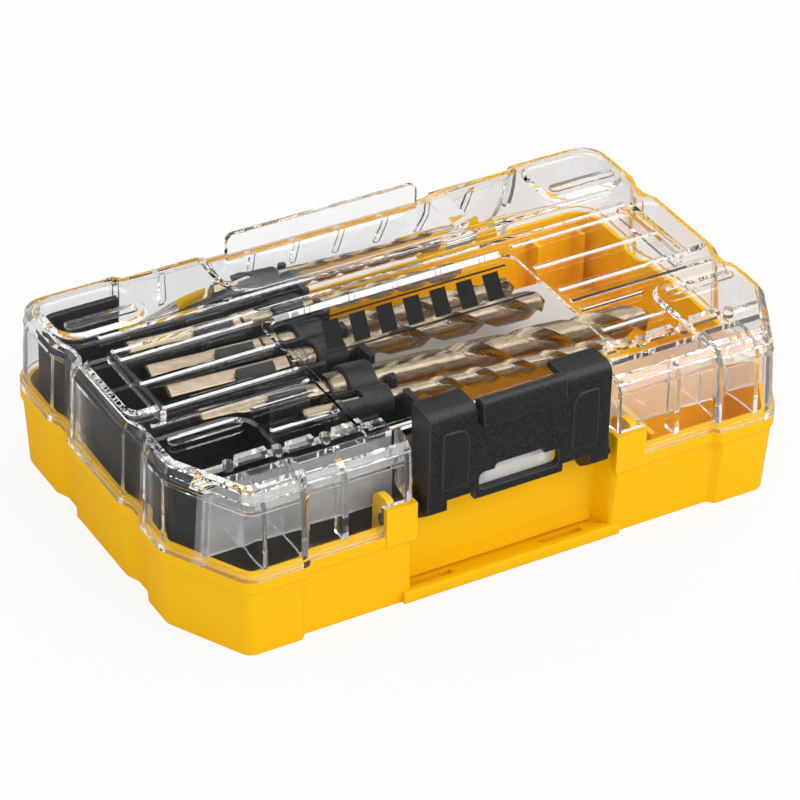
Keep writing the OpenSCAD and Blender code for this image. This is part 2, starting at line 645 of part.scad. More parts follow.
module bit_tray() color(black) difference() {
  union() {
    prism(tray_outline, tray_floor_z, tray_floor_z + tray_wall);
    difference() {
      prism(tray_outline, tray_floor_z, tray_z);
      prism(grown(tray_outline, -tray_wall), tray_floor_z, tray_z + over);
      // the front wall, the back wall and the open right end are lower
      translate([tray_x[0] + 12, front, tray_z - 6]) cube([tray_l, half_d, 10]);
      translate([tray_x[0] + 24, 0, tray_z - 13.5]) cube([tray_l, half_d, 20]);
      translate([tray_x[1] - 4, tray_y[0] + 6, tray_floor_z + tray_wall])
        cube([8, tray_y[1] - tray_y[0] - 12, tray_z]);
    }
    for (k = [0 : 3]) {
      y = (drills[k][1] + drills[k + 1][1]) / 2;
      tray_wall_box(tray_x[0] + 1, tray_x[1] - 12, y - 0.7, y + 0.7, divider_top);
    }
    for (k = [0 : 5]) saddle(k);
  }
  for (k = [0 : 5]) {
    x0 = drills[k][0] + clip_at[k];
    notch(k, x0 - 3, x0 + clip_l + 3, clip_d(k) + 2 * bit_gap);
  }
}

module bit_rack() color(black) {
  x0 = tray_x[1] + 0.1;
  difference() {
    translate([x0, tray_y[0], tray_floor_z])
      cube([rack_t, tray_y[1] - tray_y[0], divider_top - tray_floor_z]);
    for (k = [0 : 5]) notch(k, x0 - 2, x0 + rack_t + 2, drills[k][3] + 2 * bit_gap);
  }
}

// ---- Card ----

card = [tray_x[1] + rack_t + 1, half_l - 29, back - 57.8, back - 22.8];

module insert_card() color(grey_card)
  prism(box_outline(card[0], card[1], card[2], card[3], 1), card_z, card_z + 0.6);

base_tub();
lid();
latch();
hinge_pin_left();
hinge_pin_right();
bit_tray();
bit_rack();
shank_clip_1();
shank_clip_2();
shank_clip_3();
shank_clip_4();
shank_clip_5();
shank_clip_6();
drill_bit_1();
drill_bit_2();
drill_bit_3();
drill_bit_4();
drill_bit_5();
drill_bit_6();
insert_card();
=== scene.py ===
# %% [markdown]
# # Drill bit case
# An amber tub, a clear hinged lid, a black swing latch and a black holder with six
# twist drills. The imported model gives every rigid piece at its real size. This script
# gives each of them its finish, adds what only the eye needs, and sets up the studio.
# Blender works in metres. Sizes that a person would measure are given in millimetres,
# and MM turns them into metres where they are used.

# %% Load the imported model
import bpy
import math
from collections import namedtuple
from mathutils import Matrix, Vector


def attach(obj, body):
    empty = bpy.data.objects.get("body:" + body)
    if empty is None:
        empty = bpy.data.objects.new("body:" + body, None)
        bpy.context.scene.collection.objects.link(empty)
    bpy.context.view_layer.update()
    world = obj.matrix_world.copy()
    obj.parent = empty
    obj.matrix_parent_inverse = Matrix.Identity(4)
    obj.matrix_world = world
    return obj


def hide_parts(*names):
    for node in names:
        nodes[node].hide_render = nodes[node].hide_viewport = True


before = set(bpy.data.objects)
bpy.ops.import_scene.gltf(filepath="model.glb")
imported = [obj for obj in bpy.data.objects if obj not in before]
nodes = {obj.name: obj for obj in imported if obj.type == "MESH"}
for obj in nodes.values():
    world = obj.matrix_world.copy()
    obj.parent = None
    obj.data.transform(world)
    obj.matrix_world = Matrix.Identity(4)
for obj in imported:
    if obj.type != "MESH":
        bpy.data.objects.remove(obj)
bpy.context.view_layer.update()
MM = 0.001
print("pieces in the frame:", len(nodes))

# %% [markdown]
# ## Camera
# A long lens far away keeps the case's edges nearly parallel, as in the photograph. A
# Track To constraint could aim the camera, but it always keeps it level, and this picture
# leans by a degree and a half. So the camera has a place, three angles and a focal length,
# and its matrix is worked out from them.

# %% Camera
AZIMUTH, ELEVATION, ROLL = (math.radians(a) for a in (-30.851, 34.224, 1.570))
CAMERA_PLACE = Vector((-0.44785, -0.75661, 0.61905))
LENS_MM = 173.37
SHIFT = (-0.0291, 0.0006)
CLIP = (0.05, 20)


def linked(name, data):
    """A new object for a mesh, lamp or camera, linked into the scene."""
    made = bpy.data.objects.new(name, data)
    bpy.context.collection.objects.link(made)
    return made


def aim_camera():
    """Puts the camera at its place, turned by its three angles, and makes it the scene's."""
    back = Vector((math.sin(AZIMUTH) * math.cos(ELEVATION),
                   -math.cos(AZIMUTH) * math.cos(ELEVATION), math.sin(ELEVATION)))
    level = Vector((math.cos(AZIMUTH), math.sin(AZIMUTH), 0))
    upright = back.cross(level)
    right = math.cos(ROLL) * level + math.sin(ROLL) * upright
    up = math.cos(ROLL) * upright - math.sin(ROLL) * level
    data = bpy.data.cameras.new("camera")
    data.lens = LENS_MM
    data.shift_x, data.shift_y = SHIFT
    data.clip_start, data.clip_end = CLIP
    camera = linked("camera", data)
    turn = Matrix((right, up, back)).transposed().to_4x4()
    camera.matrix_world = Matrix.Translation(CAMERA_PLACE) @ turn
    bpy.context.scene.camera = camera


aim_camera()
print("camera: %.0f mm lens, %.2f m from the case" % (LENS_MM, CAMERA_PLACE.length))

# %% [markdown]
# ## Node helpers
# Every finish below is a node tree on a Principled shader. Such a tree can be drawn by
# hand in the Shader Editor, or built line by line in Python, which soon gets long. These
# helpers add a node, set its sockets by name and link it, so that each finish reads as a
# short recipe. A value can be a number, a colour or another node's socket.

# %% Node helpers
WHITE = (1, 1, 1, 1)


def new_material(name):
    """A material, its node tree and its Principled shader."""
    material = bpy.data.materials.new(name)
    material.use_nodes = True
    return material, material.node_tree, material.node_tree.nodes["Principled BSDF"]


def feed(tree, value, socket):
    """Links value to the socket if it comes from a node, and otherwise sets it there."""
    if isinstance(value, bpy.types.NodeSocket):
        tree.links.new(value, socket)
    else:
        socket.default_value = value


def fill(tree, node, **sockets):
    """Feeds the node's inputs by name, with _ for each space."""
    for key, value in sockets.items():
        feed(tree, value, node.inputs[key.replace("_", " ")])


def add(tree, kind, settings=None, **sockets):
    """A new node of that kind; settings are its properties and sockets its inputs."""
    made = tree.nodes.new(kind)
    for key, value in (settings or {}).items():
        setattr(made, key, value)
    fill(tree, made, **sockets)
    return made


def maths(tree, operation, *values):
    """One Math node on one to three values."""
    node = add(tree, "ShaderNodeMath", {"operation": operation})
    for value, socket in zip(values, node.inputs):
        feed(tree, value, socket)
    return node.outputs[0]


def near(tree, value, middle, reach):
    """1 where value is within reach of middle, else 0."""
    return maths(tree, "COMPARE", value, middle, reach)


def mixed(tree, factor, first, second):
    """The first shader where factor is 0 and the second where it is 1."""
    mix = tree.nodes.new("ShaderNodeMixShader")
    for value, socket in zip((factor, first, second), mix.inputs):
        tree.links.new(value, socket)
    return mix.outputs[0]


print("node helpers: feed, fill, add, maths, near, mixed")

# %% [markdown]
# ## Patterns and bumps
# A pattern has to sit still on its piece when the piece moves, so it is measured on the
# piece's own Object coordinates. Each piece has its place in its mesh, so these are also
# the case's coordinates, in metres. A Bevel node gives the normal that rounded edges would
# have, without a new face, and a Bump node adds grain on top of it.

# %% Patterns and bumps
ROUNDING_SAMPLES = 6


def object_axes(tree):
    """The x, y and z of the piece's own coordinates, in metres."""
    place = add(tree, "ShaderNodeTexCoord").outputs["Object"]
    return add(tree, "ShaderNodeSeparateXYZ", Vector=place).outputs


def noise(tree, scale, detail=3.0):
    """Noise on Object coordinates; scale counts cells per metre."""
    place = add(tree, "ShaderNodeTexCoord").outputs["Object"]
    return add(tree, "ShaderNodeTexNoise", Vector=place, Scale=scale, Detail=detail).outputs["Fac"]


def spread(tree, value, low, high):
    """A 0 to 1 value spread between low and high."""
    return add(tree, "ShaderNodeMapRange", Value=value, To_Min=low, To_Max=high).outputs["Result"]


def rounded_normal(tree, radius):
    """The surface's normal as if its edges had that radius."""
    return add(tree, "ShaderNodeBevel", {"samples": ROUNDING_SAMPLES}, Radius=radius).outputs["Normal"]


def bumped(tree, shader, height, depth, edge=0.0):
    """Adds height, depth metres high, to the shader's normal, over edges rounded by edge."""
    bump = add(tree, "ShaderNodeBump", Height=height, Distance=depth)
    if edge:
        fill(tree, bump, Normal=rounded_normal(tree, edge))
    fill(tree, shader, Normal=bump.outputs["Normal"])


print("a bevel is sampled", ROUNDING_SAMPLES, "times at each point")

# %% [markdown]
# ## Painted edge highlights
# A moulded edge catches the light and looks paler, and here that highlight is painted into
# the colour as a paler colour on every edge, not wear. That could be painted by hand, but it
# would have to be done again after each change of shape. Here the shape itself shows where
# the edges are: the rounded normal differs from the face's own only near an edge, so one minus
# their dot product is a mask of the edges. A Mix node then blends two colours by a mask.

# %% Painted edge highlights
# how far the painted highlight reaches from an edge, and the bend at which it is full
HIGHLIGHT_REACH = 0.45 * MM
FULL_HIGHLIGHT = 0.12


def edge_mask(tree):
    """1 on edges and 0 on open faces."""
    face = tree.nodes.new("ShaderNodeNewGeometry")
    dot = add(tree, "ShaderNodeVectorMath", {"operation": "DOT_PRODUCT"})
    tree.links.new(rounded_normal(tree, HIGHLIGHT_REACH), dot.inputs[0])
    tree.links.new(face.outputs["Normal"], dot.inputs[1])
    bend = maths(tree, "SUBTRACT", 1.0, dot.outputs["Value"])
    return add(tree, "ShaderNodeMapRange", Value=bend, From_Max=FULL_HIGHLIGHT).outputs["Result"]


def blend(tree, factor, first, second):
    """The first colour where factor is 0 and the second where it is 1."""
    tone = add(tree, "ShaderNodeMix", {"data_type": "RGBA"})
    for label, value in (("A", first), ("B", second), ("Factor", factor)):
        socket = next(s for s in tone.inputs if s.name == label and s.enabled)
        feed(tree, value if isinstance(value, bpy.types.NodeSocket) else (*value, 1), socket)
    return next(s for s in tone.outputs if s.enabled)


print("painted edge highlight reaches %.2f mm" % (HIGHLIGHT_REACH / MM))

# %% [markdown]
# ## Moulded plastic
# Tub, latch and holder are injection moulded. The mould is spark-eroded, which leaves a
# fine grain, so the light on a flat face breaks up softly. Real grain in the mesh would
# take millions of faces, so it is a noise with cells of about a third of a millimetre,
# used as a bump and as paler specks on its peaks. A second, slow noise varies the gloss.
# Both colours of plastic come from one function, because they differ only in numbers.

# %% Moulded plastic
PLASTIC_IOR = 1.49
SLOW_SCALE = 60
GLOSS_RANGE = 0.05
GRAIN_DETAIL = 4
GRAIN_PEAKS = (0.48, 0.7)
SHADED_EDGE = 0.35 * MM


def moulded(name, colour, gloss, grain_depth, grain_scale, shine, speckle, edge_highlight):
    """speckle is the colour of the grain's peaks; the last argument is the colour of a painted highlight on
    the edges.
    """
    material, tree, shader = new_material(name)
    grain = noise(tree, grain_scale, GRAIN_DETAIL)
    low, high = GRAIN_PEAKS
    peaks = add(tree, "ShaderNodeMapRange", Value=grain, From_Min=low, From_Max=high).outputs["Result"]
    face = blend(tree, peaks, colour, speckle)
    varied = spread(tree, noise(tree, SLOW_SCALE), gloss - GLOSS_RANGE, gloss + GLOSS_RANGE)
    # the edge mask lays a painted highlight, a paler colour, on every edge
    fill(tree, shader, IOR=PLASTIC_IOR, Specular_IOR_Level=shine, Roughness=varied,
         Base_Color=blend(tree, edge_mask(tree), face, edge_highlight))
    bumped(tree, shader, grain, grain_depth, SHADED_EDGE)
    return material


# the last colour of each plastic is the painted highlight on its edges
amber = moulded("amber_plastic", (0.98, 0.535, 0.0), gloss=0.4, grain_depth=0.008 * MM,
                grain_scale=3200, shine=0.15, speckle=(1.0, 0.56, 0.004), edge_highlight=(1.0, 0.6, 0.03))
black = moulded("black_plastic", (0.01, 0.0102, 0.011), gloss=0.36, grain_depth=0.14 * MM,
                grain_scale=2800, shine=0.5, speckle=(0.05, 0.05, 0.052), edge_highlight=(0.09, 0.09, 0.094))
print("moulded plastics:", amber.name, black.name)

# %% [markdown]
# ## Frosted places
# The bar that the latch snaps over and the inner walls of the lid's front pockets come
# out of the mould frosted. They are part of the lid's one moulding, so they can't have a
# material of their own. A mask is 1 inside a box of the case's coordinates instead: it is
# the product of one Compare node for each axis.

# %% Frosted places
# each box has its middle and its reach to either side, in mm, along X, Y and Z
CATCH_BAR = ((0, 11.7), (-53.5, 1.4), (32.4, 2.6))
POCKET_WALLS = ((0, 200), (-44.1, 1.2), (35, 11))


def inside(tree, box):
    """1 inside the box and 0 outside it."""
    mask = 1.0
    for axis, (middle, reach) in zip(object_axes(tree), box):
        mask = maths(tree, "MULTIPLY", mask, near(tree, axis, middle * MM, reach * MM))
    return mask


print("the frosted bar is", 2 * CATCH_BAR[0][1], "mm long")

# %% [markdown]
# ## Clear plastic
# A lid could be faked with a see-through shader, but its edges would stay dull. This one
# has real walls, so a refracting shader shows its edges bright by itself. It would block
# the lamp's light, because Blender doesn't look for lamps through refraction, so for
# shadow rays only it is a faint tint. In the frosted places a satin white is mixed in.

# %% Clear plastic
BAR_FROST = 0.6
POCKET_FROST = (0.1, 0.34)
WAVE_SCALE, HAZE_SCALE, FROST_SCALE = 90, 120, 700
WAVE_DEPTH, FROST_DEPTH = 0.02 * MM, 0.15 * MM


def clear_plastic():
    """Clear walls, slightly wavy as moulded ones are, and frosted inside the two boxes."""
    material, tree, shader = new_material("clear_plastic")
    fill(tree, shader, Base_Color=(0.97, 0.975, 0.98, 1), Transmission_Weight=1.0,
         IOR=PLASTIC_IOR, Roughness=0.0)
    bumped(tree, shader, noise(tree, WAVE_SCALE, 2), WAVE_DEPTH)
    frost = add(tree, "ShaderNodeBsdfPrincipled", Base_Color=(0.8, 0.8, 0.79, 1), Roughness=0.3)
    bumped(tree, frost, noise(tree, FROST_SCALE), FROST_DEPTH)
    bar = maths(tree, "MULTIPLY", inside(tree, CATCH_BAR), BAR_FROST)
    haze = spread(tree, noise(tree, HAZE_SCALE), *POCKET_FROST)
    pocket = maths(tree, "MULTIPLY", inside(tree, POCKET_WALLS), haze)
    cloudy = maths(tree, "MAXIMUM", bar, pocket)
    body = mixed(tree, cloudy, shader.outputs["BSDF"], frost.outputs["BSDF"])
    tint = add(tree, "ShaderNodeBsdfTransparent", Color=(0.93, 0.94, 0.95, 1))
    ray = add(tree, "ShaderNodeLightPath")
    whole = mixed(tree, ray.outputs["Is Shadow Ray"], body, tint.outputs["BSDF"])
    fill(tree, tree.nodes["Material Output"], Surface=whole)
    return material


clear = clear_plastic()
print("clear plastic bends light by an index of", PLASTIC_IOR)

# %% [markdown]
# ## Metals
# The drills are ground steel with a bronze-gold coating, and the hinge pins plain steel.
# Grinding leaves fine slanting lines. A Wave texture would draw them too, but a Ping-Pong
# of the slope across the piece gives their spacing in plain millimetres. The coating is
# thinner in places, which a noise between two near colours shows.

# %% Metals
LINE_EVERY = 0.35 * MM
LINE_LEAN = 0.8
THIN_COAT = 0.65
PATCH_SCALE = 400


def metal(name, colour, gloss, line_depth):
    """Ground metal whose tone and gloss vary in patches."""
    material, tree, shader = new_material(name)
    patches = noise(tree, PATCH_SCALE)
    thin = [channel * THIN_COAT for channel in colour]
    fill(tree, shader, Metallic=1.0, Base_Color=blend(tree, patches, thin, colour),
         Roughness=spread(tree, patches, gloss - 0.05, gloss + 0.08))
    x, y, z = object_axes(tree)
    slope = maths(tree, "ADD", maths(tree, "ADD", x, y), maths(tree, "MULTIPLY", z, LINE_LEAN))
    lines = maths(tree, "PINGPONG", slope, LINE_EVERY)
    bumped(tree, shader, maths(tree, "MULTIPLY", lines, 1 / LINE_EVERY), line_depth)
    return material


gold = metal("gold_steel", (0.52, 0.42, 0.3), gloss=0.16, line_depth=0.04 * MM)
steel = metal("pin_steel", (0.62, 0.62, 0.64), gloss=0.3, line_depth=0.005 * MM)
print("metals:", gold.name, steel.name)

# %% [markdown]
# ## Printed card
# Pale warm grey board that lies under the drills. Along its front runs a thin black rule
# with ticks across it. An image could be laid on it, but masks on the card's own
# coordinates stay sharp at any distance and need no picture. Wrap repeats the ticks.

# %% Printed card
RULE_Y = 2.1 * MM
RULE_HALF = 0.22 * MM
TICK_EVERY = 12.4 * MM
FIRST_TICK_X = 3 * MM
TICK_HALF = 0.2 * MM
TICK_REACH = 2.3 * MM
BOARD, PRINT = (0.62, 0.57, 0.53), (0.012, 0.012, 0.012)
FIBRE_SCALE, FIBRE_DEPTH = 1500, 0.01 * MM


def printed_card():
    """Board with a printed rule and its ticks."""
    material, tree, shader = new_material("printed_card")
    x, y, _ = object_axes(tree)
    past_first = maths(tree, "SUBTRACT", x, FIRST_TICK_X)
    from_tick = maths(tree, "WRAP", past_first, TICK_EVERY / 2, -TICK_EVERY / 2)
    tick = maths(tree, "MULTIPLY", near(tree, from_tick, 0.0, TICK_HALF), near(tree, y, RULE_Y, TICK_REACH))
    lines = maths(tree, "MAXIMUM", near(tree, y, RULE_Y, RULE_HALF), tick)
    fill(tree, shader, Base_Color=blend(tree, lines, BOARD, PRINT), Roughness=0.6)
    bumped(tree, shader, noise(tree, FIBRE_SCALE), FIBRE_DEPTH)
    return material


card = printed_card()
print("card: a tick every %.1f mm" % (TICK_EVERY / MM))

# %% [markdown]
# ## A finish for each rigid piece
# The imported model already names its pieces, so their finishes fit in one short table. The
# drills and the clips are many and alike, and get theirs by the start of their name.

# %% A finish for each rigid piece
FINISH = {"base_tub": amber, "lid": clear, "latch": black, "bit_tray": black, "bit_rack": black,
          "hinge_pin_left": steel, "hinge_pin_right": steel, "insert_card": card}


def finish_of(name):
    """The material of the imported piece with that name."""
    if name in FINISH:
        return FINISH[name]
    return black if name.startswith("shank_clip") else gold


for name, piece in nodes.items():
    piece.data.materials.clear()
    piece.data.materials.append(finish_of(name))
print("finished", len(nodes), "pieces with", len({finish_of(name).name for name in nodes}), "materials")

# %% [markdown]
# ## Flat faces flat and round ones smooth
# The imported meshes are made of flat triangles. Shade Smooth on everything would make the
# flat faces look round too. Blender's own Smooth by Angle does it by rule, but it comes
# from a library file, and this script reads none. A small Geometry Nodes tree does the
# same: every face is smooth, and only edges that bend less than an angle stay so. The
# angle is a named input of the tree.

# %% Shading by angle
def shading_tree():
    """Smooth shading over every edge that bends less than a given angle."""
    tree = bpy.data.node_groups.new("smooth below angle", "GeometryNodeTree")
    tree.interface.new_socket("Geometry", in_out="INPUT", socket_type="NodeSocketGeometry")
    limit = tree.interface.new_socket("Sharpest smooth angle", in_out="INPUT",
                                      socket_type="NodeSocketFloat")
    limit.default_value = math.radians(30)
    tree.interface.new_socket("Geometry", in_out="OUTPUT", socket_type="NodeSocketGeometry")
    start, end = tree.nodes.new("NodeGroupInput"), tree.nodes.new("NodeGroupOutput")
    bend = tree.nodes.new("GeometryNodeInputMeshEdgeAngle").outputs["Unsigned Angle"]
    below = add(tree, "FunctionNodeCompare", {"operation": "LESS_THAN"})
    fill(tree, below, A=bend, B=start.outputs["Sharpest smooth angle"])
    faces = add(tree, "GeometryNodeSetShadeSmooth", {"domain": "FACE"},
                Geometry=start.outputs["Geometry"], Shade_Smooth=True)
    edges = add(tree, "GeometryNodeSetShadeSmooth", {"domain": "EDGE"},
                Geometry=faces.outputs["Geometry"], Shade_Smooth=below.outputs["Result"])
    fill(tree, end, Geometry=edges.outputs["Geometry"])
    return tree


SHADING = shading_tree()
print("shading tree:", len(SHADING.nodes), "nodes")

# %% [markdown]
# ## Moulded edges
# A moulded edge is never razor sharp: it has a radius of a fraction of a millimetre that
# catches the light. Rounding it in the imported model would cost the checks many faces, so
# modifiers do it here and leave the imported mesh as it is. A Weld joins its loose
# triangles, a Decimate joins those that lie flat together, and a Bevel then rounds what
# is sharper than a limit angle.

# %% Moulded edges
EDGE_RADIUS = {"lid": 0.45 * MM, "latch": 0.35 * MM, "base_tub": 0.35 * MM}
WELD_REACH = 0.002 * MM
FLAT_WITHIN, ROUND_ABOVE = math.radians(0.3), math.radians(34)


def finish_mesh(piece, radius=0.0):
    """Joins the piece's triangles, shades them by angle and rounds its edges by radius."""
    weld = piece.modifiers.new("weld", "WELD")
    weld.merge_threshold = WELD_REACH
    if radius:
        flat = piece.modifiers.new("flat faces", "DECIMATE")
        flat.decimate_type = "DISSOLVE"
        flat.angle_limit = FLAT_WITHIN
    smooth = piece.modifiers.new("shading", "NODES")
    smooth.node_group = SHADING
    if radius:
        bevel = piece.modifiers.new("moulded edge", "BEVEL")
        bevel.width = radius
        bevel.segments = 2
        bevel.limit_method = "ANGLE"
        bevel.angle_limit = ROUND_ABOVE
        bevel.harden_normals = True


for name, piece in nodes.items():
    finish_mesh(piece, EDGE_RADIUS.get(name, 0.0))
print("rounded edges on:", ", ".join(EDGE_RADIUS))

# %% [markdown]
# ## Twist drills: sizes
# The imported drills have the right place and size, with as few faces as a check needs. Here
# are the same sizes for the ones that are shown. A drill lies along X, its shank to the
# left, and its point leans down a little.

# %% Sizes of the drills
# where the shank starts in mm, the lean in degrees, then diameter, length, length of the
# shank with its collar, width over the shank's flats and where the flutes begin, in mm
Bit = namedtuple("Bit", "start lean diameter length shank flats fluted_from")
DRILLS = {
    "drill_bit_1": Bit((-38.6, 47.9, 36), 1.5, 4, 76, 24, 5, 31),
    "drill_bit_2": Bit((-69.6, 35.9, 36), 2.2, 4.8, 107, 40, 6.4, 61),
    "drill_bit_3": Bit((-69.8, 23.3, 36), 3, 6.4, 117, 40, 6.4, 61),
    "drill_bit_4": Bit((-69.4, 12.1, 36), 2.6, 8, 120, 42, 6.4, 60),
    "drill_bit_5": Bit((-68.1, -3.8, 37), 4, 9.5, 144, 44, 6.4, 71),
    "drill_bit_6": Bit((-42, -14.2, 36), 4, 5.5, 101, 27, 5, 35),
}
print("drills:", ", ".join("%g mm" % bit.diameter for bit in DRILLS.values()))

# %% [markdown]
# ## Twist drills: profiles
# A drill is one bar whose cross-section changes: a hexagonal shank, a round collar and
# neck, then two flutes that wind round to the point. So it is described by rings along
# its axis, each with a distance, a turn and a profile, which is a function that gives the
# radius at an angle. Cutting flutes with a Boolean would be slower and leave rough edges.
# Because each ring's points turn with the flutes, the lands' edges are smooth helices.

# %% Profiles and rings of a drill
COLLAR_MM, COLLAR_PROUD, COLLAR_CHAMFER = 5, 0.3, 0.4
SHANK_CHAMFER = 0.5
SHANK_TIP = 0.82    # width over the flats at the very end, as a share of the shank's
HEX_CORNER = 0.56   # radius of the turned corners, as a share of the width over the flats
GROOVE = 0.42       # radius of the groove before the collar, as a share of the same width
LAND = 0.7          # a flute lies where the cosine of the angle is below this
FLUTE_DEPTH = 0.62  # share of the radius
PITCH = 4.3         # length of one turn of the flutes, in diameters
POINT = 0.42        # length of the point, in diameters
RUN_IN = 0.9        # length over which the flutes deepen, in diameters
RING_EVERY = 0.13   # distance between rings along the flutes, in diameters


def hexagon(flats):
    """A hexagon's radius by angle, with its corners turned round."""
    return lambda a: min(flats / 2 / math.cos(a % (math.pi / 3) - math.pi / 6), flats * HEX_CORNER)


def circle(radius):
    """The same radius at every angle."""
    return lambda a: radius


def fluted(radius, depth):
    """Two flutes, sunk by depth times the radius between two round lands."""
    def at(a):
        dip = max(0.0, (LAND - abs(math.cos(a))) / LAND)
        return radius * (1 - depth * math.sin(dip * math.pi / 2))
    return at


def shank_rings(bit):
    """Chamfered hexagonal shank, chamfered collar and the start and end of the neck."""
    radius, collar = bit.diameter / 2, max(bit.flats, bit.diameter) / 2 + COLLAR_PROUD
    collar_from = bit.shank - COLLAR_MM
    profiles = [(0, hexagon(bit.flats * SHANK_TIP)),
                (SHANK_CHAMFER, hexagon(bit.flats)),
                (collar_from - SHANK_CHAMFER, hexagon(bit.flats)),
                (collar_from, circle(bit.flats * GROOVE)),
                (collar_from, circle(collar - COLLAR_CHAMFER)),
                (collar_from + COLLAR_CHAMFER, circle(collar)),
                (bit.shank - COLLAR_CHAMFER, circle(collar)),
                (bit.shank, circle(max(collar - 0.7, radius))),
                (bit.shank + 0.1, circle(radius)),
                (bit.fluted_from - 0.1, circle(radius))]
    return [(along, 0, profile) for along, profile in profiles]


def flute_rings(bit):
    """Flutes that deepen, wind along the drill and close on the point."""
    radius, point = bit.diameter / 2, POINT * bit.diameter
    wound = bit.length - point - bit.fluted_from
    steps = round(wound / (RING_EVERY * bit.diameter))
    rings = []
    for i in range(steps + 1):
        run = wound * i / steps
        depth = FLUTE_DEPTH * min(1.0, run / (RUN_IN * bit.diameter))
        turn = math.tau * run / (PITCH * bit.diameter)
        rings.append((bit.fluted_from + run, turn, fluted(radius, depth)))
    for share in (0.3, 0.6, 0.9):
        narrowed = fluted(radius * (1.02 - share), FLUTE_DEPTH * (1 - share))
        rings.append((bit.length - point * (1 - share), turn, narrowed))
    return rings


longest = max(DRILLS.values(), key=lambda bit: bit.length)
print("rings in the longest drill:", len(shank_rings(longest) + flute_rings(longest)))

# %% [markdown]
# ## Twist drills: skin
# Neighbouring rings are joined by four-sided faces, and the two ends are closed, so each
# drill is one closed shell whose faces point outwards. It is made along Z, where a ring
# is easy to write, and then turned onto the drill's own axis in its mesh, because a
# finished object stays at the origin. The shown drill rides on the base and stands for
# the imported one, which stays for the motion checks, hidden.

# %% Skin of the drills
AROUND = 48


def ringed_mesh(name, rings, closed=False):
    """Skins the rings; the ends are capped, or joined to each other if closed."""
    angles = [math.tau * k / AROUND for k in range(AROUND)]
    points = [(r(a) * math.cos(a + turn) * MM, r(a) * math.sin(a + turn) * MM, along * MM)
              for along, turn, r in rings for a in angles]
    last = len(rings) - 1
    faces = [] if closed else [list(range(AROUND))[::-1], [last * AROUND + k for k in range(AROUND)]]
    for low, high in [(i, i + 1) for i in range(last)] + ([(last, 0)] if closed else []):
        for k in range(AROUND):
            after = (k + 1) % AROUND
            faces.append((low * AROUND + k, low * AROUND + after,
                          high * AROUND + after, high * AROUND + k))
    mesh = bpy.data.meshes.new(name)
    mesh.from_pydata(points, [], faces)
    return mesh


def lay_on_axis(mesh, start, lean):
    """Turns a mesh made along Z onto a drill's axis."""
    turn = Matrix.Rotation(math.radians(90 + lean), 4, "Y")
    mesh.transform(Matrix.Translation(Vector(start) * MM) @ turn)


def new_piece(name, mesh, material, body):
    """An object for the mesh, with its finish, that rides on a body of the case."""
    piece = linked(name, mesh)
    mesh.materials.append(material)
    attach(piece, body)
    return piece


for name, bit in DRILLS.items():
    mesh = ringed_mesh("fluted_" + name, shank_rings(bit) + flute_rings(bit))
    lay_on_axis(mesh, bit.start, bit.lean)
    drill = new_piece("fluted_" + name, mesh, gold, "base")
    finish_mesh(drill)
    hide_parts(name)
    print(name, len(mesh.polygons), "faces")

# %% [markdown]
# ## Bit sockets
# Just before the drills leave the holder, each runs through a short round socket on the
# rack, with a chamfered rim at one end. A Screw modifier could turn the profile, but the
# rings are there already: each socket is one closed band of them on the drill's axis.

# %% Bit sockets
SOCKET_X = (-24.5, -16)
SOCKET_WALL, SOCKET_RIM, SOCKET_PLAY = 1.3, 0.4, 0.35


def socket_rings(bore, length):
    """The bore, the rim and the outside, back to the bore."""
    outer = bore + SOCKET_WALL
    return [(0, 0, circle(bore)), (0, 0, circle(outer - SOCKET_RIM)), (SOCKET_RIM, 0, circle(outer)),
            (length, 0, circle(outer)), (length, 0, circle(bore))]


for name, bit in DRILLS.items():
    bore = max(bit.diameter, bit.flats) / 2 + SOCKET_PLAY
    rings = socket_rings(bore, SOCKET_X[1] - SOCKET_X[0])
    mesh = ringed_mesh(name.replace("drill_bit", "bit_socket"), rings, closed=True)
    x, y, z = bit.start
    drop = (SOCKET_X[0] - x) * math.tan(math.radians(bit.lean))
    lay_on_axis(mesh, (SOCKET_X[0], y, z - drop), bit.lean)
    finish_mesh(new_piece(mesh.name, mesh, black, "base"))
    print("%s: bore %.1f mm" % (mesh.name, 2 * bore))

# %% [markdown]
# ## Window band: the tree
# Two thin rules with a row of plain slanting bars between them are printed on the lid's
# window. The bars could be copied by hand or by an Array modifier, but neither leans the
# row. This Geometry Nodes tree puts a bar on each point of a line, makes the copies real,
# and moves each point sideways by its height, which leans them all. Its sizes are named
# inputs, so the band can be changed without touching the nodes.

# %% Tree of the window band
BAND_SIZES = {"Pitch": 8.4 * MM, "Bar width": 5 * MM, "Bar height": 12.6 * MM,
              "Ink": 0.04 * MM, "Lean": 0.4}
BAR_COUNT = 7


def band_inputs(tree):
    """The tree's named inputs and its output."""
    tree.interface.new_socket("Geometry", in_out="INPUT", socket_type="NodeSocketGeometry")
    for label, value in BAND_SIZES.items():
        size = tree.interface.new_socket(label, in_out="INPUT", socket_type="NodeSocketFloat")
        size.default_value = value
    count = tree.interface.new_socket("Count", in_out="INPUT", socket_type="NodeSocketInt")
    count.default_value = BAR_COUNT
    tree.interface.new_socket("Ink colour", in_out="INPUT", socket_type="NodeSocketMaterial")
    tree.interface.new_socket("Geometry", in_out="OUTPUT", socket_type="NodeSocketGeometry")


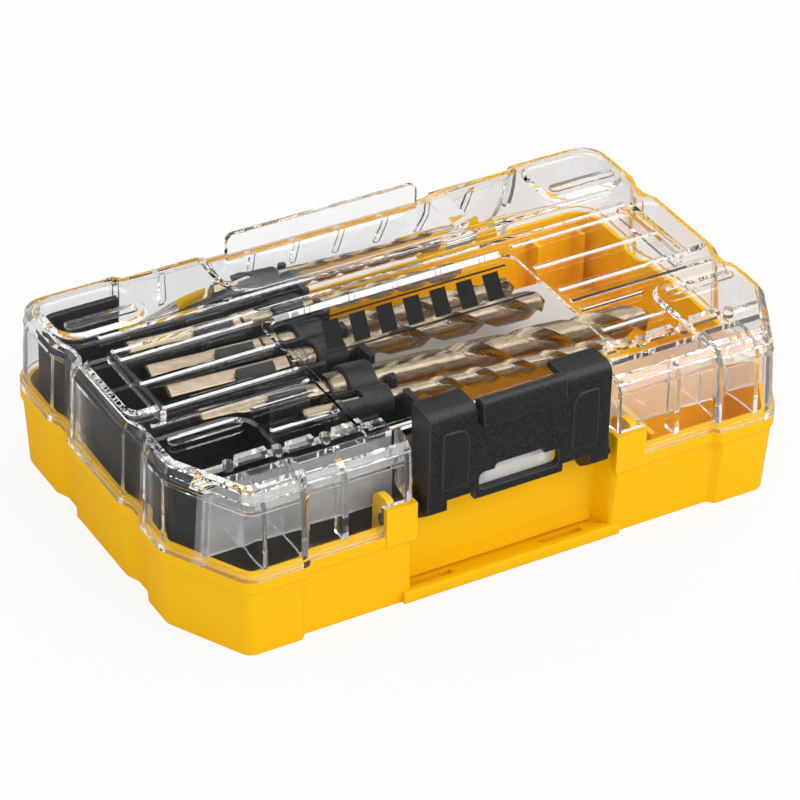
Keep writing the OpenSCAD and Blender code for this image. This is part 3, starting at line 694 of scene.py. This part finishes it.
def band_tree():
    """A row of leaning bars of ink."""
    tree = bpy.data.node_groups.new("slanting bars", "GeometryNodeTree")
    band_inputs(tree)
    start, end = tree.nodes.new("NodeGroupInput").outputs, tree.nodes.new("NodeGroupOutput")
    step = add(tree, "ShaderNodeCombineXYZ", X=start["Pitch"])
    line = add(tree, "GeometryNodeMeshLine", Count=start["Count"], Offset=step.outputs[0])
    size = add(tree, "ShaderNodeCombineXYZ", X=start["Bar width"], Y=start["Bar height"], Z=start["Ink"])
    bar = add(tree, "GeometryNodeMeshCube", Size=size.outputs[0])
    row = add(tree, "GeometryNodeInstanceOnPoints", Points=line.outputs["Mesh"],
              Instance=bar.outputs["Mesh"])
    real = add(tree, "GeometryNodeRealizeInstances", Geometry=row.outputs["Instances"])
    position = tree.nodes.new("GeometryNodeInputPosition").outputs[0]
    place = add(tree, "ShaderNodeSeparateXYZ", Vector=position)
    lean = maths(tree, "MULTIPLY", place.outputs["Y"], start["Lean"])
    shift = add(tree, "ShaderNodeCombineXYZ", X=lean)
    leaned = add(tree, "GeometryNodeSetPosition", Geometry=real.outputs[0], Offset=shift.outputs[0])
    inked = add(tree, "GeometryNodeSetMaterial", Geometry=leaned.outputs[0], Material=start["Ink colour"])
    tree.links.new(inked.outputs[0], end.inputs[0])
    return tree


print("window band:", BAR_COUNT, "bars, %.1f mm apart" % (BAND_SIZES["Pitch"] / MM))

# %% [markdown]
# ## Window band: printing
# The tree runs as a modifier on an empty mesh. What it makes is copied to a plain mesh,
# and the modifier goes with the empty one, because the export reads plain meshes. A rule
# is the same tree with one wide, low bar that doesn't lean. The ink lies a hair above the
# window's top face, so that the two don't flicker into each other.

# %% Printing of the window band
BAND_X = (-31, 34.5)
BAND_Y = (-7.2, 8.7)
FIRST_BAR = 6.5
RULE_HEIGHT = 0.8
INK_MIDDLE_Z = 50.04
INK_SCALE, INK_GLOSS = 300, (0.28, 0.42)


def made_by(tree, name, **inputs):
    """Runs a Geometry Nodes tree on an empty mesh and returns the result as a plain mesh."""
    carrier = linked(name, bpy.data.meshes.new(name))
    modifier = carrier.modifiers.new("make", "NODES")
    modifier.node_group = tree
    sockets = {item.name: item.identifier for item in tree.interface.items_tree
               if item.in_out == "INPUT"}
    for label, value in inputs.items():
        modifier[sockets[label.replace("_", " ")]] = value
    made = carrier.evaluated_get(bpy.context.evaluated_depsgraph_get())
    mesh = bpy.data.meshes.new_from_object(made)
    bpy.data.objects.remove(carrier)
    return mesh


def printed_ink():
    """Near-black ink whose gloss varies slowly."""
    material, tree, shader = new_material("printed_ink")
    gloss = spread(tree, noise(tree, INK_SCALE), *INK_GLOSS)
    fill(tree, shader, Base_Color=(0.01, 0.01, 0.01, 1), Roughness=gloss)
    return material


ink = printed_ink()
bars = made_by(band_tree(), "window_bars", Ink_colour=ink)
bars.transform(Matrix.Translation(Vector((BAND_X[0] + FIRST_BAR, sum(BAND_Y) / 2, INK_MIDDLE_Z)) * MM))
new_piece("window_bars", bars, ink, "lid")
for name, y in (("front_rule", BAND_Y[0]), ("back_rule", BAND_Y[1])):
    rule = made_by(band_tree(), name, Ink_colour=ink, Count=1, Lean=0.0, Bar_height=RULE_HEIGHT * MM,
                   Bar_width=(BAND_X[1] - BAND_X[0]) * MM)
    rule.transform(Matrix.Translation(Vector((sum(BAND_X) / 2, y, INK_MIDDLE_Z)) * MM))
    new_piece(name, rule, ink, "lid")
print("window band:", len(bars.polygons), "faces in the bars")

# %% [markdown]
# ## Studio: rays
# A photographer puts a clear lid in a white sweep, hangs a softbox over it for bright
# streaks, and stands black cards round it, so that its edges and the black plastic don't
# mirror white all over. Real cards and a real softbox would also stand in other views, so
# the sky and the floor play their part: Light Path tells where a ray comes from, and each
# kind of ray meets its own brightness. The camera and the clear plastic see plain white.

# %% Kinds of ray
def seen_rays(tree):
    """1 where the ray comes from the camera, a mirror-like surface or through clear plastic."""
    ray = add(tree, "ShaderNodeLightPath").outputs
    direct = maths(tree, "MAXIMUM", ray["Is Camera Ray"], ray["Is Glossy Ray"])
    return maths(tree, "MAXIMUM", direct, ray["Is Transmission Ray"])


def mirrored_once(tree):
    """1 for a ray that one surface has mirrored, 0 for one that only went through plastic."""
    return near(tree, tree.nodes.new("ShaderNodeLightPath").outputs["Glossy Depth"], 1.0, 0.5)


print("kinds of ray: seen, mirrored once")

# %% [markdown]
# ## Studio: sky
# The sky is a world of Background shaders, mixed by kind of ray. Its mirrored brightness
# follows a Float Curve by height: white low down, dark for the black cards, then bright
# for the softbox overhead. A sharp mirror shows the softbox at its full strength, and a
# satin one sees it spread out and weaker. Light that reaches the inside through the lid
# is nearly twice as strong, because a real lid's walls also pass on light that few of
# the renderer's rays find.

# %% Sky
DOME_LIGHT = 0.88
THROUGH_LIGHT = 1.0
INSIDE_LIGHT = 1.9
# brightness at each height, from the horizon (0) to straight up (1)
SHARP_SKY = ((0.0, 1.0), (0.1, 1.0), (0.18, 0.06), (0.74, 0.06), (0.8, 7.0), (1.0, 7.0))
SATIN_SKY = ((0.0, 0.6), (0.1, 0.6), (0.25, 0.05), (0.68, 0.05), (0.84, 2.4), (1.0, 2.4))


def light_of(tree, strength):
    """White light of that strength."""
    return add(tree, "ShaderNodeBackground", Color=WHITE, Strength=strength).outputs[0]


def sky_by_height(tree, height, levels):
    """White light whose strength follows the ray's height through the given levels."""
    curve = add(tree, "ShaderNodeFloatCurve", Value=height)
    points = curve.mapping.curves[0].points
    while len(points) < len(levels):
        points.new(0.5, 0.5)
    brightest = max(value for _, value in levels)
    for point, (place, value) in zip(points, levels):
        point.location = (place, value / brightest)
        point.handle_type = "VECTOR"
    curve.mapping.update()
    return light_of(tree, maths(tree, "MULTIPLY", curve.outputs[0], brightest))


def make_sky():
    """A world whose light depends on the kind of ray that meets it."""
    world = bpy.data.worlds.new("dome")
    world.use_nodes = True
    tree = world.node_tree
    ray = tree.nodes.new("ShaderNodeLightPath").outputs
    direction = tree.nodes.new("ShaderNodeTexCoord").outputs["Generated"]
    height = add(tree, "ShaderNodeSeparateXYZ", Vector=direction).outputs["Z"]
    scattered = maths(tree, "MINIMUM", ray["Diffuse Depth"], 1.0)
    through = light_of(tree, spread(tree, scattered, THROUGH_LIGHT, INSIDE_LIGHT))
    straight = maths(tree, "SUBTRACT", ray["Is Singular Ray"], ray["Is Transmission Ray"])
    fill(tree, tree.nodes["Background"], Color=WHITE, Strength=DOME_LIGHT)
    light = mixed(tree, ray["Is Transmission Ray"], tree.nodes["Background"].outputs[0], through)
    light = mixed(tree, mirrored_once(tree), light, sky_by_height(tree, height, SATIN_SKY))
    sharp = sky_by_height(tree, height, SHARP_SKY)
    light = mixed(tree, maths(tree, "MAXIMUM", straight, 0.0), light, sharp)
    light = mixed(tree, ray["Is Camera Ray"], light, light_of(tree, 1.0))
    fill(tree, tree.nodes["World Output"], Surface=light)
    bpy.context.scene.world = world


make_sky()
print("sky: softbox %g times white in a sharp mirror, %g in a satin one"
      % (SHARP_SKY[-1][1], SATIN_SKY[-1][1]))

# %% [markdown]
# ## Studio: floor
# A plain pale floor would render grey against the white sky. More light would burn out
# the case, so for rays that see it the floor is mostly a white glow, and the rest of it is
# an ordinary surface that still takes the case's shadow. In a mirror the glow is nearly
# dark, as if a black card lay there. The floor is a stage, not a piece of the case.

# %% Floor
FLOOR_REACH = 3
FLOOR_GREY = (0.9, 0.9, 0.9, 1)
GLOW_SHARE = 0.86
MIRRORED_FLOOR = 0.05


def make_floor():
    """A wide square under the case, white to the camera."""
    corners = [(x * FLOOR_REACH, y * FLOOR_REACH, 0) for x, y in ((-1, -1), (1, -1), (1, 1), (-1, 1))]
    mesh = bpy.data.meshes.new("floor")
    mesh.from_pydata(corners, [], [(0, 1, 2, 3)])
    floor = linked("floor", mesh)
    material, tree, shader = new_material("floor")
    fill(tree, shader, Base_Color=FLOOR_GREY, Roughness=0.9, Specular_IOR_Level=0.0)
    strength = spread(tree, mirrored_once(tree), 1.0, MIRRORED_FLOOR)
    glow = add(tree, "ShaderNodeEmission", Color=WHITE, Strength=strength)
    share = maths(tree, "MULTIPLY", seen_rays(tree), GLOW_SHARE)
    surface = mixed(tree, share, shader.outputs["BSDF"], glow.outputs[0])
    fill(tree, tree.nodes["Material Output"], Surface=surface)
    mesh.materials.append(material)


make_floor()
print("floor:", 2 * FLOOR_REACH, "m wide")

# %% [markdown]
# ## Studio: lamp and light paths
# One large lamp from the front right gives the soft shadow and a side to the light. A
# sun lamp would give hard shadows, because it has no size to speak of. Light runs along
# inside the lid's clear walls by reflection, so it needs many bounces, and Blender's own
# limits would leave black patches there.

# %% Lamp and light paths
KEY_WATTS = 4.5
KEY_PLACE = (0.5, -0.9, 0.9)
KEY_SIZE = (0.7, 0.5)
CLEAR_BOUNCES, ALL_BOUNCES = 24, 32


def add_lamp(name, place, size, watts):
    """A rectangular lamp that points at the case."""
    data = bpy.data.lights.new(name, "AREA")
    data.shape = "RECTANGLE"
    data.size, data.size_y = size
    data.energy = watts
    lamp = linked(name, data)
    lamp.location = place
    lamp.rotation_mode = "QUATERNION"
    lamp.rotation_quaternion = (-Vector(place)).to_track_quat("-Z", "Y")


add_lamp("key", KEY_PLACE, KEY_SIZE, KEY_WATTS)
scene = bpy.context.scene
scene.view_settings.view_transform = "Standard"
scene.cycles.glossy_bounces = CLEAR_BOUNCES
scene.cycles.transmission_bounces = CLEAR_BOUNCES
scene.cycles.max_bounces = ALL_BOUNCES
print("key lamp: %g W, %.2f m from the case" % (KEY_WATTS, Vector(KEY_PLACE).length))
